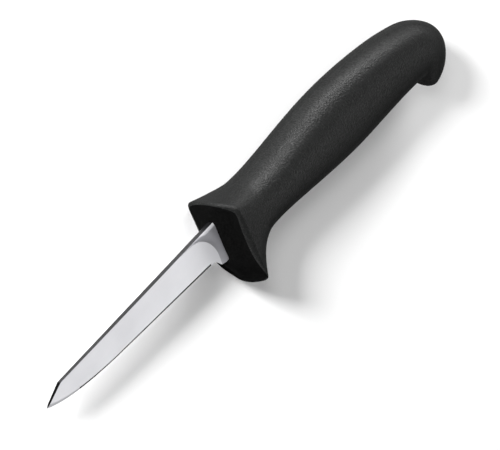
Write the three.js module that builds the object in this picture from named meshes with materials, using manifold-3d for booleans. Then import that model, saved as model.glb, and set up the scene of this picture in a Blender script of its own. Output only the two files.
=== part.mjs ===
import * as THREE from 'three';
import { mergeVertices } from 'three/addons/utils/BufferGeometryUtils.js';
import Module from 'manifold-3d';

// Poultry knife: a ground steel blade whose hidden tang is moulded into a one-piece plastic handle.
// Sizes are millimetres. The sizes are laid out from one datum on the mid-plane, at the middle of the
// handle's front and close to the spine: +X runs to the tip, +Y to the cutting edge and +Z out of the
// left cheek. At the end the knife is moved to lie on its right side with its origin under its middle.

// Blade outline, measured along its own spine from the handle, heights from the spine
const bladeLength = 80;
const clipLength = 7.5;
const tipHeight = 3.1;
const edgeShoulderFromTip = 9;
const edgeShoulderHeight = 7.3;
const edgeCurveFromTip = 32;
const edgeCurveHeight = 8.5;
const heelFromHandle = 4;
const heelHeight = 10.7;
const ricassoLength = 2;
const ricassoHeight = 13.2;
const stockThickness = 2.5;
const arrisRadius = 0.65;

// Seat of the blade in the handle: its spine lies above the datum and droops towards the edge
const spineLift = 0.5;
const bladeDroop = 0.9;

// Grinding: the thickness that each flat-ground cheek leaves at three places, and the plunge line
const spineThicknessAtPlunge = 1.75;
const spineThicknessAtClip = 1.2;
const heelThickness = 0.44;
const plungeFromHandleAtSpine = 12.5;
const plungeFromHandleAtHeel = 1.85;
const plungeHeight = 10.6;
const plungeRadius = 0.6;
const sharpenedFromHandle = 6;
const edgeBevelAngle = 20;
const edgeLand = 0.06;

// Tang, hidden in the handle
const tangEndCover = 25.5;
const tangShoulder = 5;
const tangTop = 1;
const tangHeight = 9.6;
const tangEndHeight = 7;
const tangHoleDiameter = 4.6;
const tangHoleCount = 3;
const firstTangHole = 20;
const lastTangHoleFromEnd = 20;
const tangClearance = 0.3;
const mouthOverrun = 2;

// Handle sections: rise above the datum, drop below it, and width
const handleLength = 113;
const waistFromFront = 20;
const waistRise = 3.1;
const waistDrop = 13.3;
const waistWidth = 17.5;
const palmFromFront = 58;
const palmRise = 6.3;
const palmDrop = 16.5;
const palmWidth = 17.4;
const neckFromButt = 25;
const neckRise = 4.1;
const neckDrop = 16;
const neckWidth = 17.1;
const buttFall = 1.5;
const buttWidth = 16.8;
const buttPoleDrop = 11.1;
const buttDomeLength = 13;
const buttSquareness = 2.3;
const gripSquareness = 2.3;

// Hook under the butt
const hookFromButt = 15.6;
const hookRun = 6.4;
const hookDepth = 6.7;
const hookNarrowing = 2;

// Guard: how far its rim flares past the grip, and how its front face curves back
const flareLength = 35;
const guardTopFlare = 4.2;
const guardBottomFlare = 11.4;
const guardSideFlare = 1.1;
const flarePower = 3;
const bottomFlarePower = 5;
const guardSideSetback = 2.6;
const guardChinSetback = 5.1;
const chinCurvePower = 3;
const guardCurveDepth = 15;
const guardCrown = 3;
const chinTaper = 0.1;
const guardTopSquareness = 9.2;
const guardBottomSquareness = 5.4;
const guardSquareLength = 18;
const guardRimRadius = 0.9;
const guardSideRimRadius = 2.1;
const rimSquaring = 0.35;

// Facets
const curveFacets = 10;
const arrisFacets = 2;
const plungeFacets = 3;
const pointsPerRing = 54;
const frontRings = 3;
const rimRings = 4;
const flareRings = 9;
const flareRingCrowding = 1.5;
const gripRings = 16;
const buttRings = 20;

const { clamp, degToRad, lerp, smoothstep } = THREE.MathUtils;
const quarterTurn = Math.PI / 2;
const wasm = await Module();
wasm.setup();

const tangLength = handleLength - tangEndCover;
const tangHolePitch = (tangLength - firstTangHole - lastTangHoleFromEnd) / (tangHoleCount - 1);

// A closed geometry as a solid that can be cut and joined
function solid(geometry) {
  const bare = geometry.clone();
  bare.deleteAttribute('normal');
  bare.deleteAttribute('uv');
  const merged = mergeVertices(bare);
  return new wasm.Manifold(new wasm.Mesh({
    numProp: 3,
    vertProperties: new Float32Array(merged.attributes.position.array),
    triVerts: new Uint32Array(merged.index.array),
  }));
}

// A named mesh from a finished solid
function namedMesh(name, body, material) {
  const { vertProperties, triVerts } = body.getMesh();
  const geometry = new THREE.BufferGeometry();
  geometry.setAttribute('position', new THREE.BufferAttribute(vertProperties, 3));
  geometry.setIndex(new THREE.BufferAttribute(triVerts, 1));
  geometry.computeVertexNormals();
  const mesh = new THREE.Mesh(geometry, material);
  mesh.name = name;
  return mesh;
}

// A plate of the given outline, centred on the mid-plane, with its arrises rounded or bevelled inwards
function plate(shape, thickness, { edgeRise = 0, edgeInset = 0, segments = 1 } = {}) {
  const depth = thickness - 2 * edgeRise;
  const geometry = new THREE.ExtrudeGeometry(shape, {
    depth,
    bevelEnabled: edgeRise > 0,
    bevelThickness: edgeRise,
    bevelSize: edgeInset,
    bevelOffset: -edgeInset,
    bevelSegments: segments,
    curveSegments: curveFacets,
  });
  return geometry.translate(0, 0, -depth / 2);
}

// The cutting edge, drawn from the tip back to the heel
function traceEdge(path, endsAt) {
  const curveEnd = bladeLength - edgeCurveFromTip;
  path.quadraticCurveTo(bladeLength - edgeShoulderFromTip, edgeShoulderHeight, curveEnd, edgeCurveHeight);
  const along = (curveEnd - endsAt) / (curveEnd - heelFromHandle);
  path.lineTo(endsAt, lerp(edgeCurveHeight, heelHeight, along));
}

// The tang, drawn from the ricasso's lower shoulder round its end to the upper shoulder
function traceTang(path, grow) {
  const shoulder = -tangShoulder - grow;
  const endRadius = tangEndHeight / 2;
  const endCentre = endRadius - tangLength;
  path.lineTo(shoulder, ricassoHeight + grow);
  path.lineTo(shoulder, tangTop + tangHeight + grow);
  path.lineTo(endCentre, tangTop + tangEndHeight + grow);
  path.absarc(endCentre, tangTop + endRadius, endRadius + grow, quarterTurn, 3 * quarterTurn, false);
  path.lineTo(shoulder, tangTop - grow);
  path.lineTo(shoulder, -grow);
}

// The tang's locking holes, which the handle's pegs fill
function punchTangHoles(shape, shrink) {
  for (let hole = 0; hole < tangHoleCount; hole += 1) {
    const at = -firstTangHole - hole * tangHolePitch;
    const heightHere = lerp(tangHeight, tangEndHeight, -at / tangLength);
    const punched = new THREE.Path();
    punched.absarc(at, tangTop + heightHere / 2, tangHoleDiameter / 2 - shrink, 0, 4 * quarterTurn, true);
    shape.holes.push(punched);
  }
}

// Stamped blank: blade, ricasso and tang in one sheet
function blank() {
  const shape = new THREE.Shape();
  shape.moveTo(bladeLength - clipLength, 0);
  shape.lineTo(bladeLength, tipHeight);
  traceEdge(shape, heelFromHandle);
  shape.quadraticCurveTo(ricassoLength, heelHeight, ricassoLength, ricassoHeight);
  traceTang(shape, 0);
  punchTangHoles(shape, 0);
  const rounding = { edgeRise: arrisRadius, edgeInset: arrisRadius, segments: arrisFacets };
  return solid(plate(shape, stockThickness, rounding));
}

// Everything that the sharpening stone leaves: a plate with a bevel along the cutting edge. Its other
// sides lie past the blank, further out than the bevel reaches in.
function sharpenedEnvelope() {
  const bevelRise = stockThickness / 2;
  const bevelInset = bevelRise / Math.tan(degToRad(edgeBevelAngle));
  const margin = 2 * bevelInset;
  const tipSlope = (edgeShoulderHeight - tipHeight) / edgeShoulderFromTip;
  const shape = new THREE.Shape();
  shape.moveTo(bladeLength + margin, -margin - tipSlope * margin);
  shape.lineTo(bladeLength + margin, tipHeight - tipSlope * margin);
  shape.lineTo(bladeLength, tipHeight);
  traceEdge(shape, sharpenedFromHandle);
  shape.lineTo(sharpenedFromHandle, ricassoHeight + margin);
  shape.lineTo(-tangLength - margin, ricassoHeight + margin);
  shape.lineTo(-tangLength - margin, -margin - tipSlope * margin);
  const thickness = 2 * bevelRise + edgeLand;
  return solid(plate(shape, thickness, { edgeRise: bevelRise, edgeInset: bevelInset }));
}

// The steel that the grinding wheel takes off one cheek. Its floor is the cheek's plane, set by the
// thickness left at three places, and its curved end wall leaves the plunge line.
function cheekGrind(side) {
  const clipFromHandle = bladeLength - clipLength;
  const groundLength = clipFromHandle - plungeFromHandleAtSpine;
  const taperAlong = (spineThicknessAtPlunge - spineThicknessAtClip) / groundLength;
  const spineThickness = (x) => spineThicknessAtPlunge - taperAlong * (x - plungeFromHandleAtSpine);
  const taperDown = (spineThickness(heelFromHandle) - heelThickness) / heelHeight;
  const margin = stockThickness;
  const shape = new THREE.Shape();
  shape.moveTo(plungeFromHandleAtSpine, -margin);
  shape.lineTo(plungeFromHandleAtSpine, 0);
  const acrossPlunge = plungeFromHandleAtSpine - plungeFromHandleAtHeel;
  shape.absellipse(
    plungeFromHandleAtSpine, plungeHeight, acrossPlunge, plungeHeight,
    3 * quarterTurn, 2 * quarterTurn, true,
  );
  shape.lineTo(plungeFromHandleAtHeel, ricassoHeight + margin);
  shape.lineTo(bladeLength + margin, ricassoHeight + margin);
  shape.lineTo(bladeLength + margin, -margin);
  const depth = 2 * stockThickness;
  const rounding = { edgeRise: plungeRadius, edgeInset: plungeRadius, segments: plungeFacets };
  const cutter = plate(shape, depth, rounding);
  cutter.translate(0, 0, (side * depth) / 2);
  const along = (-side * taperAlong) / 2;
  const down = (-side * taperDown) / 2;
  const floor = (side * spineThickness(0)) / 2;
  return solid(cutter.applyMatrix4(new THREE.Matrix4().set(
    1, 0, 0, 0,
    0, 1, 0, 0,
    along, down, 1, floor,
    0, 0, 0, 1,
  )));
}

// A smooth curve through a few knots of [distance behind the front, size]
function smoothThrough(knots) {
  const last = knots.length - 1;
  const slope = (i) => {
    const [fromAt, fromSize] = knots[Math.max(i - 1, 0)];
    const [toAt, toSize] = knots[Math.min(i + 1, last)];
    return (toSize - fromSize) / (toAt - fromAt);
  };
  return (s) => {
    const found = knots.findIndex(([at]) => at >= s);
    const i = clamp(found, 1, last) - 1;
    const [startAt, start] = knots[i];
    const [endAt, end] = knots[i + 1];
    const run = endAt - startAt;
    const t = (s - startAt) / run;
    const blend = t * t * (3 - 2 * t);
    const bend = t * (1 - t) * ((1 - t) * slope(i) - t * slope(i + 1));
    return lerp(start, end, blend) + run * bend;
  };
}

const neckFromFront = handleLength - neckFromButt;
const alongGrip = (front, waist, palm, neck, butt) => smoothThrough([
  [0, front], [waistFromFront, waist], [palmFromFront, palm], [neckFromFront, neck], [handleLength, butt],
]);
const gripTop = alongGrip(-waistRise, -waistRise, -palmRise, -neckRise, buttFall);
const gripBottom = alongGrip(waistDrop, waistDrop, palmDrop, neckDrop, neckDrop);
const gripWidth = alongGrip(waistWidth, waistWidth, palmWidth, neckWidth, buttWidth);
const waistMiddle = (waistDrop - waistRise) / 2;
const palmMiddle = (palmDrop - palmRise) / 2;
const neckMiddle = (neckDrop - neckRise) / 2;
const gripMiddle = alongGrip(waistMiddle, waistMiddle, palmMiddle, neckMiddle, buttPoleDrop);

// One point on the handle's skin, at a distance s behind the front and an angle round from the top. The
// front face is filled by points drawn towards its middle, and the rim is rounded by points drawn in.
function skinPoint(s, angle, { inset = 0, fill = 1 } = {}) {
  const flare = clamp(1 - s / flareLength, 0, 1);
  const square = clamp(1 - s / guardSquareLength, 0, 1);
  const curveBack = clamp(1 - s / guardCurveDepth, 0, 1);
  const sine = Math.sin(angle);
  const cosine = Math.cos(angle);
  const guardSquareness = cosine >= 0 ? guardTopSquareness : guardBottomSquareness;
  const squareness = lerp(gripSquareness, guardSquareness, square * square);
  const power = squareness * (1 + rimSquaring * inset);
  const reach = (Math.abs(sine) ** power + Math.abs(cosine) ** power) ** (-1 / power);
  const across = fill * reach * sine;
  const up = fill * Math.max(0, reach * cosine);
  const down = fill * Math.max(0, -reach * cosine);
  const intoDome = clamp(1 - (handleLength - s) / buttDomeLength, 0, 1);
  const dome = (1 - intoDome ** buttSquareness) ** (1 / buttSquareness);
  const hookStart = handleLength - hookFromButt;
  const hook = hookDepth * smoothstep(s, hookStart, hookStart + hookRun) * down ** hookNarrowing;
  const crown = guardCrown * square * across * across * up;
  const middle = gripMiddle(s);
  const rise = middle - gripTop(s) + guardTopFlare * flare ** flarePower - inset;
  const drop = gripBottom(s) - middle + guardBottomFlare * flare ** bottomFlarePower - inset;
  const halfWidth = gripWidth(s) / 2 + guardSideFlare * flare ** flarePower - inset;
  const taper = 1 - chinTaper * square * down * down;
  const setback = guardSideSetback * across * across + guardChinSetback * down ** chinCurvePower;
  const y = middle + (drop * down + hook - rise * up) * dome + crown;
  const z = halfWidth * taper * dome * across;
  return new THREE.Vector3(-s - curveBack * setback, y, z);
}

// One ring of points round the handle. No point lies on the widest line, so each side of the guard is a
// flat facet that the knife can lie on.
function handleRing(pointAt) {
  return Array.from({ length: pointsPerRing }, (_, i) => pointAt((4 * quarterTurn * i) / pointsPerRing));
}

// The guard's rim is rounded more at its sides than at its top and chin
function rimPoint(angle, lean, fill) {
  const radius = lerp(guardRimRadius, guardSideRimRadius, Math.sin(angle) ** 2);
  return skinPoint(radius * (1 - Math.cos(lean)), angle, { inset: radius * (1 - Math.sin(lean)), fill });
}

// The rings of the handle from the middle of its front face to the pole of its butt
function handleRings() {
  const rings = [];
  for (let i = 1; i <= frontRings; i += 1) {
    rings.push(handleRing((angle) => rimPoint(angle, 0, i / frontRings)));
  }
  for (let i = 1; i <= rimRings; i += 1) {
    const lean = (i / rimRings) * quarterTurn;
    rings.push(handleRing((angle) => rimPoint(angle, lean, 1)));
  }
  for (let i = 1; i <= flareRings; i += 1) {
    const s = lerp(guardSideRimRadius, waistFromFront, (i / flareRings) ** flareRingCrowding);
    rings.push(handleRing((angle) => skinPoint(s, angle)));
  }
  const hookStart = handleLength - hookFromButt;
  for (let i = 1; i <= gripRings; i += 1) {
    const s = lerp(waistFromFront, hookStart, i / gripRings);
    rings.push(handleRing((angle) => skinPoint(s, angle)));
  }
  for (let i = 1; i < buttRings; i += 1) {
    const s = hookStart + hookFromButt * Math.sin((i / buttRings) * quarterTurn);
    rings.push(handleRing((angle) => skinPoint(s, angle)));
  }
  return rings;
}

// A closed skin over rings of equal count, with a pole at each end
function loft(rings, startPole, endPole) {
  const points = [startPole, ...rings.flat(), endPole];
  const endIndex = points.length - 1;
  const at = (ring, i) => 1 + ring * pointsPerRing + (i % pointsPerRing);
  const faces = [];
  for (let i = 0; i < pointsPerRing; i += 1) {
    faces.push(0, at(0, i + 1), at(0, i));
    for (let ring = 0; ring < rings.length - 1; ring += 1) {
      faces.push(at(ring, i), at(ring + 1, i + 1), at(ring + 1, i));
      faces.push(at(ring, i), at(ring, i + 1), at(ring + 1, i + 1));
    }
    faces.push(endIndex, at(rings.length - 1, i), at(rings.length - 1, i + 1));
  }
  const geometry = new THREE.BufferGeometry().setFromPoints(points);
  return geometry.setIndex(faces);
}

// The blade's place in the handle
const bladeSeat = new THREE.Matrix4().makeRotationZ(degToRad(bladeDroop)).setPosition(0, -spineLift, 0);

// The pocket that the tang fills, open at the handle's front and left solid at the pegs
function tangPocket() {
  const shape = new THREE.Shape();
  shape.moveTo(mouthOverrun, -tangClearance);
  shape.lineTo(mouthOverrun, ricassoHeight + tangClearance);
  traceTang(shape, tangClearance);
  punchTangHoles(shape, tangClearance);
  return solid(plate(shape, stockThickness + 2 * tangClearance).applyMatrix4(bladeSeat));
}

const steel = new THREE.MeshStandardMaterial({ color: 0xc9cad0, roughness: 0.25, metalness: 1 });
const blackPlastic = new THREE.MeshStandardMaterial({ color: 0x1c1d1d, roughness: 0.6, metalness: 0 });

const groundBlade = blank()
  .intersect(sharpenedEnvelope())
  .subtract(cheekGrind(1))
  .subtract(cheekGrind(-1));

const frontPole = new THREE.Vector3(0, gripMiddle(0), 0);
const buttPole = new THREE.Vector3(-handleLength, gripMiddle(handleLength), 0);
const mouldedHandle = solid(loft(handleRings(), frontPole, buttPole)).subtract(tangPocket());

const blade = namedMesh('blade', groundBlade, steel);
blade.applyMatrix4(bladeSeat);

const knife = new THREE.Group();
knife.add(blade);
knife.add(namedMesh('handle', mouldedHandle, blackPlastic));

// Lay the knife on its right side, with the origin under the middle of its box
const box = new THREE.Box3().setFromObject(knife);
const middle = box.getCenter(new THREE.Vector3());
knife.position.set(-middle.x, -middle.y, -box.min.z);
knife.updateMatrixWorld(true);

export default knife;
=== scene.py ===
# %% [markdown]
# A poultry knife is two things: a flat steel blade, and one lump of black plastic that was moulded round
# the blade's tang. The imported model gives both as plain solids. This lesson gives each of them its finished
# surface: the soft round forms of the moulding, the grinding on the steel, and the grain of both.

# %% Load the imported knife
import math

import bmesh
import bpy
from mathutils import Matrix, Vector


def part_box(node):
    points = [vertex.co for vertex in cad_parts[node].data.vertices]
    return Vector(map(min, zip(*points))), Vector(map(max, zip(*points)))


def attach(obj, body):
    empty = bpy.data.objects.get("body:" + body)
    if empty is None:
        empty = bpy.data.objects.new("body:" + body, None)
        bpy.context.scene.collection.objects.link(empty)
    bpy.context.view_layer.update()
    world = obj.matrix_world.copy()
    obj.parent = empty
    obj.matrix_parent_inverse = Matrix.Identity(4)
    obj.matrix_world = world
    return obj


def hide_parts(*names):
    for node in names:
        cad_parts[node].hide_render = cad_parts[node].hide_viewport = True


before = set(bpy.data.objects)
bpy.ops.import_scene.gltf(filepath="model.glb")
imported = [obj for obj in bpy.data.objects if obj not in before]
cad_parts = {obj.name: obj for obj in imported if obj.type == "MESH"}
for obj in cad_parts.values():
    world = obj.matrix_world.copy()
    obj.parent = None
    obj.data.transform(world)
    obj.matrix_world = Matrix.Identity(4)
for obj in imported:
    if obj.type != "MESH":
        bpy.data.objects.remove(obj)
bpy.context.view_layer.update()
print("packed nodes:", sorted(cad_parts))

# %% [markdown]
# Both pieces are drawn in millimetres from one datum: on the mid-plane, at the middle of the handle's front
# and close to the spine. X runs to the tip, Y to the cutting edge and Z out of the left cheek. The packed
# nodes tell where that datum lies, so one matrix takes a finished mesh to its place.

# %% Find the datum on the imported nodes
HANDLE_LENGTH = 113.0
RICASSO_LENGTH = 2.0
RICASSO_HEIGHT = 13.2
SPINE_LIFT = 0.5
BLADE_DROOP = math.radians(0.9)

handle_low, handle_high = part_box("handle")
blade_low, blade_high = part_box("blade")
ricasso_corner = (
    RICASSO_HEIGHT * math.cos(BLADE_DROOP) + RICASSO_LENGTH * math.sin(BLADE_DROOP) - SPINE_LIFT
)
datum = Vector((
    handle_low.x + HANDLE_LENGTH / 1000,
    blade_high.y - ricasso_corner / 1000,
    (blade_low.z + blade_high.z) / 2,
))
to_frame = Matrix.Translation(datum) @ Matrix.Scale(0.001, 4)
print("datum in millimetres:", [round(1000 * value, 3) for value in datum])


# %% Turn a finished mesh into a piece of the knife
def make_piece(bm, name, node, finishes):
    bmesh.ops.transform(bm, matrix=to_frame, verts=bm.verts)
    mesh = bpy.data.meshes.new(name)
    bm.to_mesh(mesh)
    bm.free()
    for finish in finishes:
        mesh.materials.append(finish)
    piece = bpy.data.objects.new(name, mesh)
    bpy.context.scene.collection.objects.link(piece)
    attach(piece, "root")
    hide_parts(node)
    print(name, "has", len(mesh.polygons), "faces")


# %% Small helpers for shapes
def clamp(value, low=0.0, high=1.0):
    return max(low, min(high, value))


def blend(a, b, share):
    return a + (b - a) * share


def ease(share):
    share = clamp(share)
    return share * share * (3 - 2 * share)


def smooth_through(knots):
    """A smooth line through (position, value) knots, which may be asked anywhere along it."""
    rises = [(b[1] - a[1]) / (b[0] - a[0]) for a, b in zip(knots, knots[1:])]
    slopes = [rises[0]]
    for before, after in zip(knots, knots[2:]):
        slopes.append((after[1] - before[1]) / (after[0] - before[0]))
    slopes.append(rises[-1])

    def value_at(position):
        i = 0
        while i < len(knots) - 2 and position > knots[i + 1][0]:
            i += 1
        run = knots[i + 1][0] - knots[i][0]
        t = (position - knots[i][0]) / run
        return (
            (2 * t**3 - 3 * t**2 + 1) * knots[i][1]
            + (t**3 - 2 * t**2 + t) * run * slopes[i]
            + (3 * t**2 - 2 * t**3) * knots[i + 1][1]
            + (t**3 - t**2) * run * slopes[i + 1]
        )

    return value_at


# %% [markdown]
# The handle is a moulding, so every form on it runs into the next: a narrow waist behind the guard, a full
# palm swell, a neck, and a butt that is domed at the end and hooked underneath. It could be carved from a
# box with subdivision, but its sections are known, so it is drawn as a ring of points that is pulled along
# the grip and reshaped at each stop. These are the lines that the ring follows.

# %% Lines of the grip
WAIST, PALM, NECK = 20.0, 58.0, HANDLE_LENGTH - 25.0
BUTT_DOME, BUTT_SQUARENESS = 13.0, 2.3
HOOK_START, HOOK_RUN, HOOK_DEPTH = HANDLE_LENGTH - 15.6, 6.4, 6.65
GRIP_SQUARENESS = 2.3

stops = (0.0, WAIST, PALM, NECK, HANDLE_LENGTH)
grip_top = smooth_through(list(zip(stops, (-3.1, -3.1, -6.3, -4.1, 1.5))))
grip_bottom = smooth_through(list(zip(stops, (13.3, 13.3, 16.5, 16.0, 16.0))))
grip_width = smooth_through(list(zip(stops, (17.5, 17.5, 17.4, 17.1, 16.8))))
grip_middle = smooth_through(list(zip(stops, (5.1, 5.1, 5.1, 5.95, 11.1))))
print("grip at the palm:", round(grip_bottom(PALM) - grip_top(PALM), 2), "by", grip_width(PALM))

# %% [markdown]
# At its front the grip flares into a guard that keeps the fingers off the edge: a little on top, much more
# below, where it ends in a chin. The guard's face curves back at the sides and at the chin, and its rim is
# rounded. A raised hair line runs along the top and the belly, where the two halves of the mould met.

# %% One point on the skin of the handle
FLARE_LENGTH = 35.0
TOP_FLARE, BOTTOM_FLARE, SIDE_FLARE = 4.17, 11.37, 1.09
SIDE_SETBACK, CHIN_SETBACK = 2.6, 5.1
GUARD_CROWN, CHIN_TAPER = 3.0, 0.1
TOP_SQUARENESS, BOTTOM_SQUARENESS = 9.2, 5.4
SQUARE_LENGTH, CURVE_DEPTH = 18.0, 15.0
FLARE_POWER, BOTTOM_FLARE_POWER = 3, 5
RIM_RADIUS, SIDE_RIM_RADIUS, RIM_SQUARING = 0.9, 2.1, 0.35
SEAM_HEIGHT, SEAM_HALF_WIDTH = 0.05, 0.2
SEAM_START, SEAM_RISE = 2.0, 4.0


def section(s, inset=0.0):
    """Middle line, rise, drop and half width of the handle at a distance s behind its front."""
    flare = clamp(1 - s / FLARE_LENGTH)
    middle = grip_middle(s)
    rise = middle - grip_top(s) + TOP_FLARE * flare**FLARE_POWER - inset
    drop = grip_bottom(s) - middle + BOTTOM_FLARE * flare**BOTTOM_FLARE_POWER - inset
    half_width = grip_width(s) / 2 + SIDE_FLARE * flare**FLARE_POWER - inset
    return middle, rise, drop, half_width


def skin_point(s, turn, inset=0.0):
    """A point at a distance s behind the front and a turn from the top, drawn in by an inset."""
    middle, rise, drop, half_width = section(s, inset)
    into_dome = clamp(1 - (HANDLE_LENGTH - s) / BUTT_DOME)
    dome = (1 - into_dome**BUTT_SQUARENESS) ** (1 / BUTT_SQUARENESS)
    square = clamp(1 - s / SQUARE_LENGTH)
    above = math.cos(turn) >= 0
    power = blend(GRIP_SQUARENESS, TOP_SQUARENESS if above else BOTTOM_SQUARENESS, square**2)
    power *= 1 + RIM_SQUARING * inset
    reach = (abs(math.cos(turn)) ** power + abs(math.sin(turn)) ** power) ** (-1 / power)
    across, down = reach * math.sin(turn), -reach * math.cos(turn)
    crown = GUARD_CROWN * square * across**2 * max(0.0, -down)
    hook = HOOK_DEPTH * ease((s - HOOK_START) / HOOK_RUN) * max(0.0, down) ** 2
    taper = 1 - CHIN_TAPER * square * max(0.0, down) ** 2
    y = middle + ((rise if above else drop) * down + hook) * dome + crown
    z = half_width * taper * dome * across
    seam = SEAM_HEIGHT * clamp(1 - abs(z) / SEAM_HALF_WIDTH)
    seam *= ease((s - SEAM_START) / SEAM_RISE) * dome
    y += seam if down > 0 else -seam
    curve_back = clamp(1 - s / CURVE_DEPTH)
    x = -s - curve_back * (SIDE_SETBACK * across**2 + CHIN_SETBACK * max(0.0, down) ** 3)
    return Vector((x, y, z))


print("chin of the guard:", [round(value, 2) for value in skin_point(RIM_RADIUS, math.pi)])

# %% [markdown]
# The blade comes out of a mouth in the guard's face. On the real knife the plastic is shot straight onto the
# steel, so the mouth follows the steel's section with no gap to speak of, and a tiny round at its lip.

# %% Mouth of the handle
STOCK = 2.5
ARRIS_DEPTH, ARRIS_HEIGHT = 0.6, 1.7
MOUTH_GAP = 0.05
LIP = 0.2
MOUTH_DEPTH = 4.0
FLAT_SHARE, CORNER_SHARE, SIDE_FROM = 0.2, 0.35, 0.55


def mouth_point(turn, grow):
    """A point of the steel's outline at the handle, grown outwards, at a turn from the spine."""
    half_height = RICASSO_HEIGHT / 2
    share = 1 - abs(1 - (turn / math.pi) % 2)
    side = 1 if (turn / math.pi) % 2 <= 1 else -1
    quarter = min(share, 1 - share) * 2
    flat = STOCK / 2 - ARRIS_DEPTH
    corner = clamp((quarter - FLAT_SHARE) / CORNER_SHARE) * math.pi / 2
    z = flat * clamp(quarter / FLAT_SHARE) + (ARRIS_DEPTH + grow) * math.sin(corner)
    from_end = ARRIS_HEIGHT * (1 - math.cos(corner)) - grow * math.cos(corner)
    from_end = blend(from_end, half_height, clamp((quarter - SIDE_FROM) / (1 - SIDE_FROM)))
    y = from_end if share < 0.5 else RICASSO_HEIGHT - from_end
    return y - SPINE_LIFT, side * z


def face_depth(y, z):
    """How far the guard's face has curved back at a place on it."""
    middle, rise, drop, half_width = section(0.0, RIM_RADIUS)
    return SIDE_SETBACK * (z / half_width) ** 2 + CHIN_SETBACK * max(0.0, (y - middle) / drop) ** 3


print("mouth is", round(STOCK + 2 * MOUTH_GAP, 2), "mm wide")

# %% [markdown]
# Now the ring itself. It starts as a circle deep in the mouth, and each extrusion carries it one stop
# further: out of the mouth, across the face, over the rim, down the flare, along the grip, into the hook
# and over the dome, where it is drawn together in one point. Each vertex keeps its own turn round the ring
# in a layer, and an extruded copy inherits it, so it always knows which place of the section is its own.

# %% Turns round the ring, crowded at the mould line
SIDE_POINTS, FIRST_SIDE_TURN = 58, 0.055
beside_seam = [0.009, 0.023]
round_side = [
    blend(FIRST_SIDE_TURN, math.pi - FIRST_SIDE_TURN, i / (SIDE_POINTS - 1)) for i in range(SIDE_POINTS)
]
half_ring = beside_seam + round_side + [math.pi - turn for turn in reversed(beside_seam)]
ring_turns = [0.0] + half_ring + [math.pi] + [2 * math.pi - turn for turn in reversed(half_ring)]
print("points in a ring:", len(ring_turns))

# %% Stops along the handle
FACE_STEPS, RIM_STEPS = 14, 8
FLARE_STEPS, GRIP_STEPS, HOOK_STEPS, DOME_STEPS = 60, 40, 24, 32
CROWDING = 1.6
grip_stops = [
    blend(SIDE_RIM_RADIUS, FLARE_LENGTH, (i / FLARE_STEPS) ** CROWDING) for i in range(1, FLARE_STEPS + 1)
]
grip_stops += [blend(FLARE_LENGTH, HOOK_START, i / GRIP_STEPS) for i in range(1, GRIP_STEPS + 1)]
grip_stops += [HOOK_START + HOOK_RUN * i / HOOK_STEPS for i in range(1, HOOK_STEPS + 1)]
dome_start = clamp(1 - (HANDLE_LENGTH - grip_stops[-1]) / BUTT_DOME)
for i in range(1, DOME_STEPS + 1):
    angle = blend(math.asin(dome_start), math.pi / 2, i / DOME_STEPS)
    grip_stops.append(HANDLE_LENGTH - BUTT_DOME * (1 - math.sin(angle)))
print("stops behind the rim:", len(grip_stops))

# %% Pull the ring along the handle
FACE_FINISH, GRIP_FINISH = 0, 1

bm = bmesh.new()
turn_of = bm.verts.layers.float.new("turn")
ring = bmesh.ops.create_circle(bm, segments=len(ring_turns), radius=1)["verts"]
for vert, turn in zip(ring, ring_turns):
    vert[turn_of] = turn
    y, z = mouth_point(turn, MOUTH_GAP)
    vert.co = (-MOUTH_DEPTH, y, z)
edges = list(bm.edges)
bmesh.ops.holes_fill(bm, edges=edges, sides=len(ring_turns))


def pull_ring(edges, place, finish):
    """Extrude the ring, put each new vertex in its place and return the edges of the new ring."""
    made = bmesh.ops.extrude_edge_only(bm, edges=edges)["geom"]
    fresh = {item for item in made if isinstance(item, bmesh.types.BMVert)}
    for vert in fresh:
        vert.co = place(vert[turn_of])
    for face in (item for item in made if isinstance(item, bmesh.types.BMFace)):
        face.material_index = finish
    return [edge for edge in bm.edges if edge.verts[0] in fresh and edge.verts[1] in fresh]


def on_rim(turn, lean):
    radius = blend(RIM_RADIUS, SIDE_RIM_RADIUS, math.sin(turn) ** 2)
    return skin_point(radius * (1 - math.cos(lean)), turn, radius * (1 - math.sin(lean)))


def on_face(turn, share, grow):
    y, z = mouth_point(turn, grow)
    rim = on_rim(turn, 0.0)
    y, z = blend(y, rim.y, share), blend(z, rim.z, share)
    return Vector((blend(-face_depth(y, z), rim.x, share**2), y, z))


edges = pull_ring(edges, lambda turn: on_face(turn, 0, MOUTH_GAP) - Vector((LIP, 0, 0)), FACE_FINISH)
edges = pull_ring(edges, lambda turn: on_face(turn, 0, LIP), FACE_FINISH)
for i in range(1, FACE_STEPS + 1):
    edges = pull_ring(edges, lambda turn: on_face(turn, i / FACE_STEPS, LIP), FACE_FINISH)
for i in range(1, RIM_STEPS + 1):
    lean = math.pi / 2 * i / RIM_STEPS
    finish = FACE_FINISH if i == 1 else GRIP_FINISH
    edges = pull_ring(edges, lambda turn: on_rim(turn, lean), finish)
for s in grip_stops:
    edges = pull_ring(edges, lambda turn: skin_point(s, turn), GRIP_FINISH)
bmesh.ops.remove_doubles(bm, verts=bm.verts, dist=1e-4)
bmesh.ops.recalc_face_normals(bm, faces=bm.faces)
for face in bm.faces:
    face.smooth = True
handle_mesh = bm
print("handle faces:", len(handle_mesh.faces), "closed:", all(edge.is_manifold for edge in bm.edges))

# %% [markdown]
# The blade starts as flat stock, 2.5 mm thick with rounded corners. Two flat cheeks are ground into it, one
# each side, and they taper it towards the tip and towards the edge. Each grind ends near the handle in the
# plunge, a curve that sweeps up from the heel and dies away along the spine; what is left behind it is the
# full-thickness ricasso. The tip is clipped off at a slant, and a narrow bevel is honed along the edge.

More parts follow.
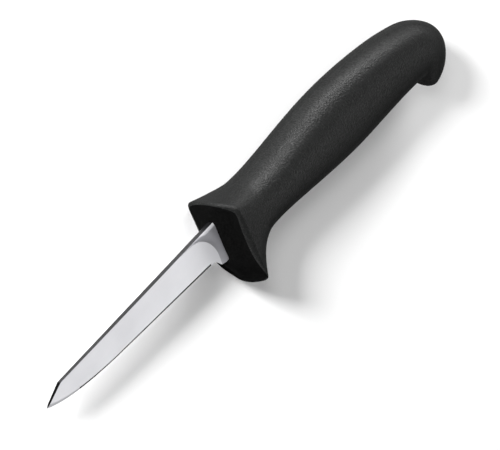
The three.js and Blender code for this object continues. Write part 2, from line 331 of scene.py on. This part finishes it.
# %% Outline of the blade
BLADE_LENGTH, CLIP_LENGTH, TIP_HEIGHT = 80.0, 7.5, 3.1
HEEL, HEEL_HEIGHT = 4.0, 10.7
CURVE_START, CURVE_HEIGHT = 48.0, 8.5
SHOULDER, SHOULDER_HEIGHT = 71.0, 7.3
HONED_FROM = 6.0


def spine_at(x):
    return TIP_HEIGHT * clamp((x - BLADE_LENGTH + CLIP_LENGTH) / CLIP_LENGTH)


def edge_at(x):
    if x < RICASSO_LENGTH:
        return RICASSO_HEIGHT
    if x < HEEL:
        return blend(RICASSO_HEIGHT, HEEL_HEIGHT, (x - RICASSO_LENGTH) / (HEEL - RICASSO_LENGTH))
    if x < CURVE_START:
        return blend(HEEL_HEIGHT, CURVE_HEIGHT, (x - HEEL) / (CURVE_START - HEEL))
    a = BLADE_LENGTH - 2 * SHOULDER + CURVE_START
    b = 2 * (SHOULDER - BLADE_LENGTH)
    gap = max(0.0, b * b - 4 * a * (BLADE_LENGTH - x))
    t = (-b - math.sqrt(gap)) / (2 * a)
    return blend(blend(TIP_HEIGHT, SHOULDER_HEIGHT, t), blend(SHOULDER_HEIGHT, CURVE_HEIGHT, t), t)


print("blade height at 10, 40 and 70 mm:", [round(edge_at(x) - spine_at(x), 2) for x in (10, 40, 70)])

# %% Thickness that the grinding leaves
GRIND_AT_PLUNGE, GRIND_AT_CLIP, GRIND_AT_HEEL = 0.875, 0.6, 0.22
PLUNGE_AT_SPINE, PLUNGE_AT_HEEL, PLUNGE_HEIGHT = 12.5, 1.85, 10.6
PLUNGE_RUN, RAMP_POWER = 3.0, 1.5
HONE_SLOPE, EDGE_LAND, HONE_LIMIT = math.tan(math.radians(20)), 0.03, 0.4

along = (GRIND_AT_CLIP - GRIND_AT_PLUNGE) / (BLADE_LENGTH - CLIP_LENGTH - PLUNGE_AT_SPINE)
beside_heel = GRIND_AT_PLUNGE + along * (HEEL - PLUNGE_AT_SPINE)
downward = (GRIND_AT_HEEL - beside_heel) / HEEL_HEIGHT


def ground_at(x, y):
    return GRIND_AT_PLUNGE + along * (x - PLUNGE_AT_SPINE) + downward * y


def plunge_at(y):
    lift = clamp((PLUNGE_HEIGHT - y) / PLUNGE_HEIGHT)
    return PLUNGE_AT_SPINE - (PLUNGE_AT_SPINE - PLUNGE_AT_HEEL) * math.sqrt(1 - lift**2)


def behind_plunge(x, y):
    """Distance from a place on the ricasso to the plunge, in a first good approximation."""
    along_grind = (x - PLUNGE_AT_SPINE) / (PLUNGE_AT_SPINE - PLUNGE_AT_HEEL)
    across_grind = min(0.0, (y - PLUNGE_HEIGHT) / PLUNGE_HEIGHT)
    steep = 2 * math.hypot(
        along_grind / (PLUNGE_AT_SPINE - PLUNGE_AT_HEEL), across_grind / PLUNGE_HEIGHT
    )
    return max(0.0, along_grind**2 + across_grind**2 - 1) / max(steep, 1e-6)


def hone_width(x):
    width = (ground_at(x, edge_at(x)) - EDGE_LAND) / (HONE_SLOPE + downward)
    return min(width, HONE_LIMIT * (edge_at(x) - spine_at(x)))


print("honed bevel at 10, 40 and 70 mm:", [round(hone_width(x), 2) for x in (10, 40, 70)])

# %% [markdown]
# Half of the blade is one sheet: from the middle of the spine, round the corner, down the cheek and over the
# honed bevel to the edge. A flat grid has just that layout, with rows along the blade and columns across
# it. The columns are laid so that one of them follows the plunge, and the rows so that one of them follows
# the bevel, because a crease looks sharp only where the mesh has an edge along it. The grid is then bent
# to shape, and a mirror makes the other half.

# %% Rows from the spine to the edge
SPINE_ROWS, ARRIS_ROWS, CHEEK_ROWS, HONE_ROWS = 4, 10, 44, 4
ARRIS_LIMIT = 0.2

rows = [("spine", i / SPINE_ROWS) for i in range(SPINE_ROWS + 1)]
rows += [("arris", i / ARRIS_ROWS) for i in range(1, ARRIS_ROWS + 1)]
rows += [("cheek", (1 - math.cos(math.pi * i / CHEEK_ROWS)) / 2) for i in range(1, CHEEK_ROWS + 1)]
rows += [("hone", i / HONE_ROWS) for i in range(1, HONE_ROWS + 1)]
rows += [("edge", 1.0)]
print("rows:", len(rows))


def row_height(row, x):
    kind, share = row
    top, bottom = spine_at(x), edge_at(x)
    arris = min(ARRIS_HEIGHT, ARRIS_LIMIT * (bottom - top))
    if kind == "spine":
        return top
    if kind == "arris":
        return top + arris * (1 - math.cos(share * math.pi / 2))
    if kind == "cheek":
        return blend(top + arris, bottom - hone_width(x), share)
    if kind == "hone":
        return blend(bottom - hone_width(x), bottom, share)
    return bottom


# %% Columns from the tang to the tip
# A share runs from the tang to the plunge on the ricasso, and from the plunge to the tip on the cheek.
TANG_IN_HANDLE = 3.9
RICASSO_COLUMNS, CHEEK_COLUMNS, TIP_COLUMNS = 24, 90, 28
PAST_HEEL, PAST_CLIP = 0.0531, 0.8889
HALVINGS = 40

on_ricasso = [0, 0.25] + [blend(0.4, 1.0, i / RICASSO_COLUMNS) for i in range(RICASSO_COLUMNS + 1)]
on_cheek = [0.00192, 0.006, 0.012, 0.0275, 0.04, PAST_HEEL]
on_cheek += [blend(PAST_HEEL, PAST_CLIP, i / CHEEK_COLUMNS) for i in range(1, CHEEK_COLUMNS)]
on_cheek += [
    blend(PAST_CLIP, 1.0, math.sin(math.pi / 2 * i / TIP_COLUMNS)) for i in range(TIP_COLUMNS + 1)
]
columns = [("ricasso", share) for share in on_ricasso]
columns += [("cheek", share) for share in on_cheek]
print("columns:", len(columns))


def plunge_of(row):
    """Where a row crosses the plunge, closed in on step by step."""
    x = HEEL
    for _ in range(HALVINGS):
        x = blend(x, plunge_at(row_height(row, x)), 0.5)
    return x


# %% [markdown]
# Each face gets its finish while the grid is still flat, because there its row and its column tell at once
# which part of the blade it will be. The limits are shares along the row or the column.

# %% Finish of each place on the blade
GROUND, ROLLED, SPINE_PAINTED_DARK, HONED_PAINTED_DARK, CLIP_PAINTED_DARK, ARRIS_PAINTED_HIGHLIGHT = range(6)
SPINE_TO, ARRIS_HIGHLIGHT_TO, ROLLED_TO = 0.3, 0.75, 0.16
# shares between which the honed bevel is painted dark, a painted dark reflection, and where the clip starts
DARK_LINE_AFTER, DARK_LINE_TO, CLIP_FROM = 0.0532, 0.84, 0.889


def finish_of(column, row):
    part, share = column
    kind, place = row
    # the spine rows get a painted dark reflection, and past the clip a darker one
    if kind == "spine" or (kind == "arris" and place < SPINE_TO):
        return CLIP_PAINTED_DARK if part == "cheek" and share > CLIP_FROM else SPINE_PAINTED_DARK
    if part == "ricasso":
        # the ricasso's rounded corner gets a painted highlight: a brighter, more diffuse steel
        return ARRIS_PAINTED_HIGHLIGHT if kind == "arris" and place < ARRIS_HIGHLIGHT_TO and share < ARRIS_HIGHLIGHT_TO else ROLLED
    if kind == "arris" and share < ROLLED_TO * (1 - place) ** 2:
        return ROLLED
    # the honed bevel is painted dark here, a painted dark reflection; towards the tip it keeps the cheek's
    # steel
    return HONED_PAINTED_DARK if kind in ("hone", "edge") and DARK_LINE_AFTER < share < DARK_LINE_TO else GROUND


print("middle of the cheek is ground:", finish_of(("cheek", 0.5), ("cheek", 0.5)) == GROUND)


# %% Bend the grid into half a blade
def corner_of_stock(y, x):
    """Half thickness of the stock at a height, with its rounded corners."""
    from_spine = clamp(1 - (y - spine_at(x)) / ARRIS_HEIGHT)
    from_bottom = clamp(1 - (edge_at(x) - y) / ARRIS_HEIGHT) if x < HEEL else 0.0
    lost = max(from_spine, from_bottom)
    return STOCK / 2 - ARRIS_DEPTH * (1 - math.sqrt(max(0.0, 1 - lost**2)))


def blade_point(column, row, plunge):
    kind, share = column
    if kind == "ricasso":
        x = blend(-TANG_IN_HANDLE, plunge, share)
    else:
        x = blend(plunge, BLADE_LENGTH, share)
    y = row_height(row, x)
    z = corner_of_stock(y, x)
    ground = ground_at(x, y)
    if kind == "ricasso":
        ground = blend(STOCK / 2, ground, clamp(1 - behind_plunge(x, y) / PLUNGE_RUN) ** RAMP_POWER)
    z = min(z, ground)
    if x >= HONED_FROM:
        z = min(z, EDGE_LAND + HONE_SLOPE * (edge_at(x) - y))
    if row[0] == "spine":
        z = min(z, STOCK / 2 - ARRIS_DEPTH) * row[1]
    if row[0] == "edge":
        z = 0.0
    return Vector((x, y, z))


crossings = [plunge_of(row) for row in rows]
bm = bmesh.new()
bmesh.ops.create_grid(bm, x_segments=len(columns) - 1, y_segments=len(rows) - 1, size=0.5)
for face in bm.faces:
    middle = face.calc_center_median()
    column = math.ceil((middle.x + 0.5) * (len(columns) - 1))
    row = math.ceil((middle.y + 0.5) * (len(rows) - 1))
    face.material_index = finish_of(columns[column], rows[row])
for vert in bm.verts:
    column = round((vert.co.x + 0.5) * (len(columns) - 1))
    row = round((vert.co.y + 0.5) * (len(rows) - 1))
    vert.co = blade_point(columns[column], rows[row], crossings[row])
print("half blade:", len(bm.faces), "faces")

# %% Mirror the half, close the tang's end and seat the blade
bmesh.ops.mirror(bm, geom=bm.verts[:] + bm.edges[:] + bm.faces[:], axis="Z", merge_dist=1e-5)
bmesh.ops.remove_doubles(bm, verts=bm.verts, dist=1e-5)
bmesh.ops.dissolve_degenerate(bm, dist=1e-6, edges=bm.edges)
bmesh.ops.holes_fill(bm, edges=[edge for edge in bm.edges if edge.is_boundary], sides=0)
bmesh.ops.recalc_face_normals(bm, faces=bm.faces)
seat = Matrix.Translation((0, -SPINE_LIFT, 0)) @ Matrix.Rotation(BLADE_DROOP, 4, "Z")
bmesh.ops.transform(bm, matrix=seat, verts=bm.verts)
CREASE = math.radians(9)
for face in bm.faces:
    face.smooth = True
for edge in bm.edges:
    edge.smooth = edge.is_manifold and edge.calc_face_angle(0.0) < CREASE
blade_mesh = bm
print("blade closed:", all(edge.is_manifold for edge in bm.edges))

# %% [markdown]
# The moulding is black plastic with a fine, slightly pebbled grain, left by a mould that was etched so that
# a wet hand keeps its hold. The grain breaks the gloss into a soft grey sheen. The guard's face is smoother,
# and its plastic is painted blacker and less glossy than the grip's, as painted shade on a face that turns
# from the light. Both are one kind of shader with different numbers: one noise lifts the surface, tints
# it and varies its gloss. Where the surface turns away from the eye the grain hides its own gloss, so the
# roughness rises there.

# %% Small helpers for materials
NOISE_LOW, NOISE_HIGH = 0.3, 0.7


def add_node(tree, kind, **settings):
    node = tree.nodes.new(kind)
    for key, value in settings.items():
        setattr(node, key, value)
    return node


def new_finish(name):
    finish = bpy.data.materials.new(name)
    finish.use_nodes = True
    return finish, finish.node_tree, finish.node_tree.nodes["Principled BSDF"]


def noise_on(tree, coords, scale, detail):
    noise = add_node(tree, "ShaderNodeTexNoise")
    noise.inputs["Scale"].default_value = scale
    noise.inputs["Detail"].default_value = detail
    tree.links.new(coords, noise.inputs["Vector"])
    return noise.outputs["Fac"]


def spread(tree, value, low, high):
    span = add_node(tree, "ShaderNodeMapRange")
    span.inputs["From Min"].default_value = NOISE_LOW
    span.inputs["From Max"].default_value = NOISE_HIGH
    span.inputs["To Min"].default_value = low
    span.inputs["To Max"].default_value = high
    tree.links.new(value, span.inputs["Value"])
    return span.outputs["Result"]


def tint(tree, value, dark, light):
    ramp = add_node(tree, "ShaderNodeValToRGB")
    ramp.color_ramp.elements[0].position = NOISE_LOW
    ramp.color_ramp.elements[0].color = (*dark, 1)
    ramp.color_ramp.elements[1].position = NOISE_HIGH
    ramp.color_ramp.elements[1].color = (*light, 1)
    tree.links.new(value, ramp.inputs["Fac"])
    return ramp.outputs["Color"]


def raise_grain(tree, shader, value, height, strength):
    bump = add_node(tree, "ShaderNodeBump")
    bump.inputs["Strength"].default_value = strength
    bump.inputs["Distance"].default_value = height
    tree.links.new(value, bump.inputs["Height"])
    tree.links.new(bump.outputs["Normal"], shader.inputs["Normal"])


print("helpers for materials are ready")


# %% Black plastic
GRAINS_PER_METRE, GRAIN_STRENGTH = 2000, 0.8
ROUGH_SWING = 0.12
SLANT_FROM, SLANT_TO = 0.3, 0.6


def matte_at_a_slant(tree, rough):
    """Roughness that rises where the surface turns away, as the grain hides its own gloss there."""
    slant = add_node(tree, "ShaderNodeMapRange")
    slant.inputs["From Min"].default_value = SLANT_FROM
    slant.inputs["From Max"].default_value = SLANT_TO
    facing = add_node(tree, "ShaderNodeLayerWeight").outputs["Facing"]
    tree.links.new(facing, slant.inputs["Value"])
    mixed = add_node(tree, "ShaderNodeMix")
    mixed.inputs["B"].default_value = 1.0
    tree.links.new(slant.outputs["Result"], mixed.inputs["Factor"])
    tree.links.new(rough, mixed.inputs["A"])
    return mixed.outputs["Result"]


def black_plastic(name, dark, light, rough, gloss, grain_height):
    finish, tree, shader = new_finish(name)
    coords = add_node(tree, "ShaderNodeTexCoord").outputs["Object"]
    grain = noise_on(tree, coords, GRAINS_PER_METRE, 3)
    tree.links.new(tint(tree, grain, dark, light), shader.inputs["Base Color"])
    worn = spread(tree, grain, rough + ROUGH_SWING, rough - ROUGH_SWING)
    tree.links.new(matte_at_a_slant(tree, worn), shader.inputs["Roughness"])
    shader.inputs["Specular IOR Level"].default_value = gloss
    shader.distribution = "GGX"
    raise_grain(tree, shader, grain, grain_height, GRAIN_STRENGTH)
    return finish


grained_black = black_plastic(
    "grained black plastic", (0.0008, 0.0008, 0.0008), (0.0108, 0.0114, 0.0111), 0.4, 0.2, 0.0003
)
# the guard's face: the same plastic painted darker, painted shade on a face turned from the light
shaded_face_black = black_plastic(
    "smooth black plastic with painted shade", (0.001, 0.001, 0.001), (0.004, 0.004, 0.004), 0.6, 0.02, 0.00001
)
print("plastic finishes:", grained_black.name, "and", shaded_face_black.name)

# %% [markdown]
# The steel shows six finishes. The cheeks were ground across the blade and then brightened to a satin that
# scatters much of the light; hair-fine lines run over them from spine to edge. The ricasso keeps the duller
# skin of rolled stock, and its corner is painted brighter, a painted highlight. The spine is painted near
# black, a painted dark reflection, and the clip is painted darker still. The honed bevel is painted as a dark
# hair line, a painted dark reflection, that fades out towards the tip. A noise that is squeezed along one
# direction gives the lines; a broad noise gives the cloudiness that no steel is without.

# %% Steel
LINE_STRENGTH, LINE_SWING = 0.2, 0.03
CLOUDS_PER_METRE = 90


def steel(name, dark, light, rough, metal, lines, line_height):
    finish, tree, shader = new_finish(name)
    coords = add_node(tree, "ShaderNodeTexCoord").outputs["Object"]
    squeeze = add_node(tree, "ShaderNodeMapping")
    squeeze.inputs["Scale"].default_value = lines
    tree.links.new(coords, squeeze.inputs["Vector"])
    strokes = noise_on(tree, squeeze.outputs["Vector"], 1.0, 3)
    clouds = noise_on(tree, coords, CLOUDS_PER_METRE, 3)
    tree.links.new(tint(tree, clouds, dark, light), shader.inputs["Base Color"])
    worn = spread(tree, strokes, rough - LINE_SWING, rough + LINE_SWING)
    tree.links.new(worn, shader.inputs["Roughness"])
    shader.inputs["Metallic"].default_value = metal
    raise_grain(tree, shader, strokes, line_height, LINE_STRENGTH)
    return finish


across_blade = (5000, 120, 120)
along_blade = (120, 4000, 4000)
steel_finishes = {
    GROUND: steel(
        "ground steel", (0.635, 0.635, 0.66), (0.695, 0.695, 0.72), 0.42, 0.25, across_blade, 2e-6
    ),
    ROLLED: steel("rolled steel", (0.42, 0.42, 0.45), (0.48, 0.48, 0.51), 0.36, 0.7, across_blade, 3e-6),
    # spine steel: a near-black base colour, a painted dark reflection on the spine
    SPINE_PAINTED_DARK: steel(
        "spine steel with painted dark reflection", (0.02, 0.02, 0.021), (0.045, 0.045, 0.048), 0.35, 0.75, along_blade, 3e-6
    ),
    # honed steel: a dark base colour, a painted dark reflection along the bevel
    HONED_PAINTED_DARK: steel(
        "honed steel with painted dark reflection", (0.08, 0.08, 0.083), (0.12, 0.12, 0.123), 0.12, 1.0, across_blade, 2e-6
    ),
    # clip steel: an almost black base colour, a painted dark reflection on the clip
    CLIP_PAINTED_DARK: steel(
        "clip steel with painted dark reflection", (0.004, 0.004, 0.004), (0.008, 0.008, 0.008), 0.3, 1.0, along_blade, 3e-6
    ),
    # steel for the ricasso's corner: brighter and more diffuse than the rolled steel, a painted highlight
    ARRIS_PAINTED_HIGHLIGHT: steel("ricasso corner steel with painted highlight", (0.44, 0.44, 0.46), (0.5, 0.5, 0.52), 0.42, 0.25, along_blade, 3e-6),
}
print("steel finishes:", [finish.name for finish in steel_finishes.values()])

# %% Put the pieces in their place
make_piece(
    handle_mesh, "moulded_handle", "handle", [shaded_face_black, grained_black]
)
make_piece(
    blade_mesh, "ground_blade", "blade", [steel_finishes[i] for i in sorted(steel_finishes)]
)

# %% [markdown]
# The knife lies on its side on a white table. A plane is enough for that: it is a touch below the knife, and
# large enough to fill the picture from any side.

# %% Table
TABLE_HALF, TABLE_DROP = 12, 0.00002

bm = bmesh.new()
bmesh.ops.create_grid(bm, x_segments=1, y_segments=1, size=TABLE_HALF)
table_mesh = bpy.data.meshes.new("table")
bm.to_mesh(table_mesh)
bm.free()
table = bpy.data.objects.new("table", table_mesh)
table.location.z = -TABLE_DROP
bpy.context.scene.collection.objects.link(table)
white_card, _, shader = new_finish("white card")
shader.inputs["Base Color"].default_value = (0.98, 0.98, 0.98, 1)
shader.inputs["Roughness"].default_value = 1.0
shader.inputs["Specular IOR Level"].default_value = 0.0
table_mesh.materials.append(white_card)
print("table:", 2 * TABLE_HALF, "m square")

# %% [markdown]
# The light is that of a small studio. Two keys on the side of the spine throw the shadows, the low one a long
# shadow and the high one a short one. A long softbox low behind the handle draws the sheen along the grip,
# with a weak fill above it. Two cards stand where the flat cheek and the guard's side mirror them, a small
# lamp catches the guard's rim, and a dim, even sky fills the rest. Lamps are given by the direction they
# shine from and the angle that they fill, because that is what a reflection shows.

# %% Studio light
TARGET = Vector((0, 0, 0.01))
KEY_DISTANCE, CARD_DISTANCE = 1.5, 1.2


def softbox(name, direction, distance, wide, high, radiance):
    """A lamp whose face fills the given angles and has the given brightness, seen from the knife."""
    lamp = bpy.data.lights.new(name, "AREA")
    lamp.shape = "RECTANGLE"
    lamp.size = 2 * distance * math.tan(math.radians(wide) / 2)
    lamp.size_y = 2 * distance * math.tan(math.radians(high) / 2)
    lamp.energy = radiance * math.pi * lamp.size * lamp.size_y
    holder = bpy.data.objects.new(name, lamp)
    direction = Vector(direction).normalized()
    holder.location = TARGET + distance * direction
    holder.rotation_euler = direction.to_track_quat("Z", "Y").to_euler()
    bpy.context.scene.collection.objects.link(holder)
    print(name, "radiance", radiance, "energy", round(lamp.energy, 2))


def toward(azimuth, elevation):
    """A direction from its bearing and its height over the table, in degrees."""
    azimuth, elevation = math.radians(azimuth), math.radians(elevation)
    return (
        math.cos(elevation) * math.cos(azimuth),
        math.cos(elevation) * math.sin(azimuth),
        math.sin(elevation),
    )


softbox("key", (1.63, -1.97, 1.0), KEY_DISTANCE, 9, 9, 205)
softbox("high_key", (0.87, -1.05, 1.0), KEY_DISTANCE, 11, 11, 24)
softbox("strip", toward(-132, 8), CARD_DISTANCE, 42, 14, 21)
softbox("top_fill", toward(-155, 46), CARD_DISTANCE, 46, 34, 0.8)
softbox("cheek_card", toward(136, 42), CARD_DISTANCE, 28, 36, 0.7)
softbox("rim_light", toward(45, 42), CARD_DISTANCE, 22, 22, 2.4)
softbox("side_card", toward(147, 26), CARD_DISTANCE, 24, 18, 3.0)

# %% Sky
SKY_STRENGTH = 0.08

world = bpy.data.worlds.new("studio")
bpy.context.scene.world = world
world.use_nodes = True
sky = world.node_tree.nodes["Background"]
sky.inputs["Color"].default_value = (1, 1, 1, 1)
sky.inputs["Strength"].default_value = SKY_STRENGTH
print("sky strength:", SKY_STRENGTH)

# %% [markdown]
# The camera stands a metre away above the spine, looking down at the left cheek, and is rolled so that the
# knife runs from the lower left to the upper right of the picture.

# %% Camera
PICTURE_WIDTH, PICTURE_HEIGHT = 500, 450
FOCAL_PIXELS = 3537
CAMERA_DISTANCE = 1000
looked_at = Vector((-10, 5, 0))
looked_at_pixel = (236.21, 217.93)
right = Vector((-0.5587, 0.3322, 0.7600)).normalized()
forward = Vector((-0.5955, 0.4772, -0.6463)).normalized()
down = forward.cross(right)

eye = looked_at - CAMERA_DISTANCE * forward
aside = (PICTURE_WIDTH / 2 - looked_at_pixel[0]) / FOCAL_PIXELS
below = (PICTURE_HEIGHT / 2 - looked_at_pixel[1]) / FOCAL_PIXELS
forward = (forward + aside * right + below * down).normalized()
right = (right - right.dot(forward) * forward).normalized()
down = forward.cross(right)

lens = bpy.data.cameras.new("camera")
lens.sensor_width = 36
lens.lens = lens.sensor_width * FOCAL_PIXELS / PICTURE_WIDTH
lens.clip_end = 100
camera = bpy.data.objects.new("camera", lens)
turned = Matrix((right, -down, -forward)).transposed().to_4x4()
camera.matrix_world = Matrix.Translation(to_frame @ eye) @ turned
bpy.context.scene.collection.objects.link(camera)
bpy.context.scene.camera = camera
bpy.context.scene.view_settings.view_transform = "Standard"
print("camera at", [round(value, 4) for value in camera.location], "lens", round(lens.lens, 2))

# %% Update the scene
bpy.context.view_layer.update()
